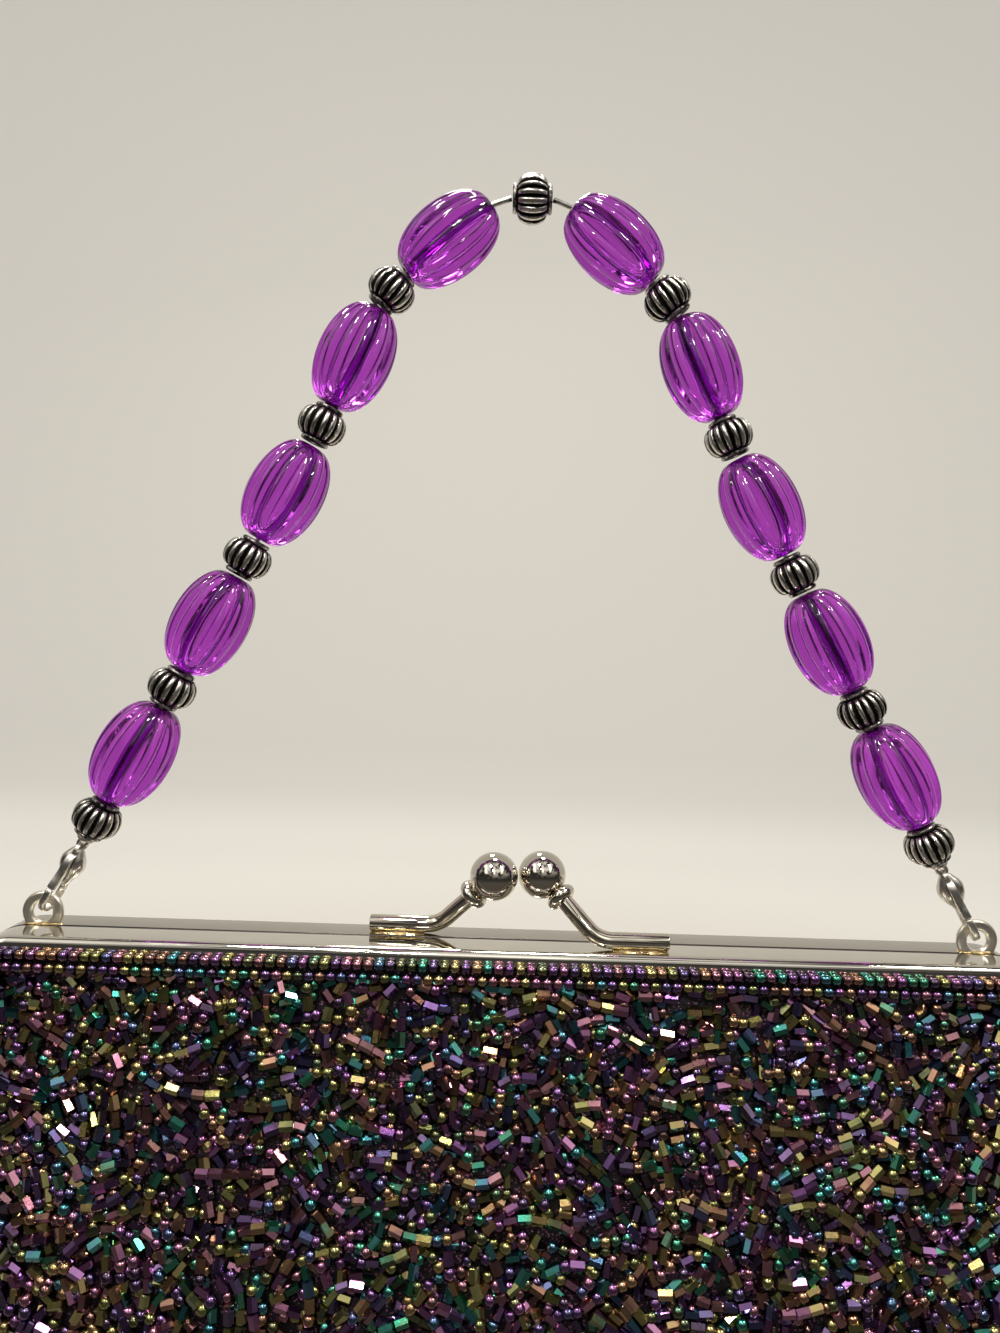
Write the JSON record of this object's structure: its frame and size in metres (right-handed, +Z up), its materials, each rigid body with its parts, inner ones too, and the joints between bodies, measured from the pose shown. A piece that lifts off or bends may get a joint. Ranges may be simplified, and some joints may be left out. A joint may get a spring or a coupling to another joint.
{
  "type": "evening clutch",
  "caption": "Beaded pouch on a hinged kiss-lock frame, hung by a strap of fluted oval beads and ribbed spacers on two lever clasps.",
  "frame": {"origin": "centre of the pouch's flat base, below the middle of the closed frame", "axes": "+Z up to the strap's crown, +X along the frame to the wearer's right as seen from the front, +Y from the front of the bag to its back"},
  "size_m": [0.2296, 0.045, 0.2973],
  "materials": {
    "acrylic": "clear moulded acrylic, polished",
    "antique_silver": "antiqued silver plate, black in the grooves",
    "wire": "bright wire",
    "clasp_nickel": "nickel plate",
    "nickel": "polished nickel plate, slightly warm",
    "solder": "hard solder, rough",
    "paper_cord": "twisted paper",
    "beaded_cloth": "plum satin sewn all over with iridescent beads",
    "lining": "dark satin",
    "board": "plain board"
  },
  "bodies": {
    "strap_crown": {"crown_spacer": "antique_silver", "crown_wire": "wire"},
    "strap_5": {"strap_wire_5": "wire"},
    "oval_left_5": {"oval_left_5": "acrylic"},
    "spacer_left_5": {"spacer_left_5": "antique_silver"},
    "oval_right_5": {"oval_right_5": "acrylic"},
    "spacer_right_5": {"spacer_right_5": "antique_silver"},
    "strap_4": {"strap_wire_4": "wire"},
    "oval_left_4": {"oval_left_4": "acrylic"},
    "spacer_left_4": {"spacer_left_4": "antique_silver"},
    "oval_right_4": {"oval_right_4": "acrylic"},
    "spacer_right_4": {"spacer_right_4": "antique_silver"},
    "strap_3": {"strap_wire_3": "wire"},
    "oval_left_3": {"oval_left_3": "acrylic"},
    "spacer_left_3": {"spacer_left_3": "antique_silver"},
    "oval_right_3": {"oval_right_3": "acrylic"},
    "spacer_right_3": {"spacer_right_3": "antique_silver"},
    "strap_2": {"strap_wire_2": "wire"},
    "oval_left_2": {"oval_left_2": "acrylic"},
    "spacer_left_2": {"spacer_left_2": "antique_silver"},
    "oval_right_2": {"oval_right_2": "acrylic"},
    "spacer_right_2": {"spacer_right_2": "antique_silver"},
    "strap_1": {"strap_wire_1": "wire", "neck_loop_left": "wire", "neck_loop_right": "wire"},
    "oval_left_1": {"oval_left_1": "acrylic"},
    "spacer_left_1": {"spacer_left_1": "antique_silver"},
    "oval_right_1": {"oval_right_1": "acrylic"},
    "spacer_right_1": {"spacer_right_1": "antique_silver"},
    "clasps": {"clasp_body_left": "clasp_nickel", "clasp_body_right": "clasp_nickel", "clasp_pins": "wire", "lever_spring_left": "wire", "lever_spring_right": "wire"},
    "lever_left": {"clasp_lever_left": "clasp_nickel"},
    "lever_right": {"clasp_lever_right": "clasp_nickel"},
    "back": {"ring_left": "nickel", "ring_right": "nickel", "back_frame": "nickel", "hinge_rivets": "nickel", "back_lock_rod": "nickel", "back_lock_collar": "nickel", "back_lock_ball": "nickel", "back_lock_solder": "solder", "back_paper_cord": "paper_cord", "beaded_body": "beaded_cloth", "lining_body": "lining", "back_board": "board", "front_board": "board", "base_board": "board"},
    "front": {"front_frame": "nickel", "front_lock_rod": "nickel", "front_lock_collar": "nickel", "front_lock_ball": "nickel", "front_lock_solder": "solder", "front_paper_cord": "paper_cord", "beaded_front_panel": "beaded_cloth", "lining_front_panel": "lining"}
  },
  "joints": [
    {"name": "strap_swing", "type": "hinge", "parent": "strap_crown", "child": "strap_5", "pos_m": [0, 0.0013, 0.29228], "axis": [1, 0, 0], "range_deg": [-90, 90]},
    {"name": "turn_oval_left_5", "type": "hinge", "parent": "strap_5", "child": "oval_left_5", "pos_m": [-0.01703, 0.0013, 0.28343], "axis": [0.7604, 0, 0.6494], "continuous": true},
    {"name": "turn_spacer_left_5", "type": "hinge", "parent": "strap_5", "child": "spacer_left_5", "pos_m": [-0.02844, 0.0013, 0.27253], "axis": [0.6018, 0, 0.7986], "continuous": true},
    {"name": "turn_oval_right_5", "type": "hinge", "parent": "strap_5", "child": "oval_right_5", "pos_m": [0.01703, 0.0013, 0.28343], "axis": [-0.7604, 0, 0.6494], "continuous": true},
    {"name": "turn_spacer_right_5", "type": "hinge", "parent": "strap_5", "child": "spacer_right_5", "pos_m": [0.02844, 0.0013, 0.27253], "axis": [-0.6018, 0, 0.7986], "continuous": true},
    {"name": "strap_bend_4", "type": "hinge", "parent": "strap_5", "child": "strap_4", "pos_m": [0, 0.0013, 0.26898], "axis": [1, 0, 0], "range_deg": [-12, 12]},
    {"name": "turn_oval_left_4", "type": "hinge", "parent": "strap_4", "child": "oval_left_4", "pos_m": [-0.03575, 0.0013, 0.25857], "axis": [0.3987, 0, 0.9171], "continuous": true},
    {"name": "turn_spacer_left_4", "type": "hinge", "parent": "strap_4", "child": "spacer_left_4", "pos_m": [-0.04193, 0.0013, 0.24435], "axis": [0.3987, 0, 0.9171], "continuous": true},
    {"name": "turn_oval_right_4", "type": "hinge", "parent": "strap_4", "child": "oval_right_4", "pos_m": [0.03575, 0.0013, 0.25857], "axis": [-0.3987, 0, 0.9171], "continuous": true},
    {"name": "turn_spacer_right_4", "type": "hinge", "parent": "strap_4", "child": "spacer_right_4", "pos_m": [0.04193, 0.0013, 0.24435], "axis": [-0.3987, 0, 0.9171], "continuous": true},
    {"name": "strap_bend_3", "type": "hinge", "parent": "strap_4", "child": "strap_3", "pos_m": [0, 0.0013, 0.24027], "axis": [1, 0, 0], "range_deg": [-12, 12]},
    {"name": "turn_oval_left_3", "type": "hinge", "parent": "strap_3", "child": "oval_left_3", "pos_m": [-0.04907, 0.0013, 0.23022], "axis": [0.4733, 0, 0.8809], "continuous": true},
    {"name": "turn_spacer_left_3", "type": "hinge", "parent": "strap_3", "child": "spacer_left_3", "pos_m": [-0.05641, 0.0013, 0.21656], "axis": [0.4733, 0, 0.8809], "continuous": true},
    {"name": "turn_oval_right_3", "type": "hinge", "parent": "strap_3", "child": "oval_right_3", "pos_m": [0.04907, 0.0013, 0.23022], "axis": [-0.4733, 0, 0.8809], "continuous": true},
    {"name": "turn_spacer_right_3", "type": "hinge", "parent": "strap_3", "child": "spacer_right_3", "pos_m": [0.05641, 0.0013, 0.21656], "axis": [-0.4733, 0, 0.8809], "continuous": true},
    {"name": "strap_bend_2", "type": "hinge", "parent": "strap_3", "child": "strap_2", "pos_m": [0, 0.0013, 0.2128], "axis": [1, 0, 0], "range_deg": [-12, 12]},
    {"name": "turn_oval_left_2", "type": "hinge", "parent": "strap_2", "child": "oval_left_2", "pos_m": [-0.06374, 0.0013, 0.20291], "axis": [0.4733, 0, 0.8809], "continuous": true},
    {"name": "turn_spacer_left_2", "type": "hinge", "parent": "strap_2", "child": "spacer_left_2", "pos_m": [-0.07108, 0.0013, 0.18925], "axis": [0.4733, 0, 0.8809], "continuous": true},
    {"name": "turn_oval_right_2", "type": "hinge", "parent": "strap_2", "child": "oval_right_2", "pos_m": [0.06374, 0.0013, 0.20291], "axis": [-0.4733, 0, 0.8809], "continuous": true},
    {"name": "turn_spacer_right_2", "type": "hinge", "parent": "strap_2", "child": "spacer_right_2", "pos_m": [0.07108, 0.0013, 0.18925], "axis": [-0.4733, 0, 0.8809], "continuous": true},
    {"name": "strap_bend_1", "type": "hinge", "parent": "strap_2", "child": "strap_1", "pos_m": [0, 0.0013, 0.18549], "axis": [1, 0, 0], "range_deg": [-12, 12]},
    {"name": "turn_oval_left_1", "type": "hinge", "parent": "strap_1", "child": "oval_left_1", "pos_m": [-0.07842, 0.0013, 0.1756], "axis": [0.4733, 0, 0.8809], "continuous": true},
    {"name": "turn_spacer_left_1", "type": "hinge", "parent": "strap_1", "child": "spacer_left_1", "pos_m": [-0.08575, 0.0013, 0.16195], "axis": [0.4733, 0, 0.8809], "continuous": true},
    {"name": "turn_oval_right_1", "type": "hinge", "parent": "strap_1", "child": "oval_right_1", "pos_m": [0.07842, 0.0013, 0.1756], "axis": [-0.4733, 0, 0.8809], "continuous": true},
    {"name": "turn_spacer_right_1", "type": "hinge", "parent": "strap_1", "child": "spacer_right_1", "pos_m": [0.08575, 0.0013, 0.16195], "axis": [-0.4733, 0, 0.8809], "continuous": true},
    {"name": "clasp_tilt", "type": "hinge", "parent": "strap_1", "child": "clasps", "pos_m": [0, 0.0013, 0.15569], "axis": [1, 0, 0], "range_deg": [-45, 45]},
    {"name": "bag_swing", "type": "hinge", "parent": "clasps", "child": "back", "pos_m": [0, 0.0013, 0.14525], "axis": [1, 0, 0], "range_deg": [-45, 45]},
    {"name": "frame_open", "type": "hinge", "parent": "back", "child": "front", "pos_m": [0, 0, 0.094], "axis": [1, 0, 0], "range_deg": [0, 65], "deforming": ["beaded_front_panel", "lining_front_panel"]},
    {"name": "lever_left_press", "type": "hinge", "parent": "clasps", "child": "lever_left", "pos_m": [-0.09033, 0.0016, 0.15334], "axis": [0.8723, -0.1392, -0.4687], "range_deg": [0, 20], "stiffness_Nm_per_rad": 0.004, "springref_deg": -14.32, "deforming": ["lever_spring_left"]},
    {"name": "lever_right_press", "type": "hinge", "parent": "clasps", "child": "lever_right", "pos_m": [0.0904, 0.0016, 0.15338], "axis": [0.8723, -0.1392, 0.4687], "range_deg": [0, 20], "stiffness_Nm_per_rad": 0.004, "springref_deg": -14.32, "deforming": ["lever_spring_right"]}
  ]
}
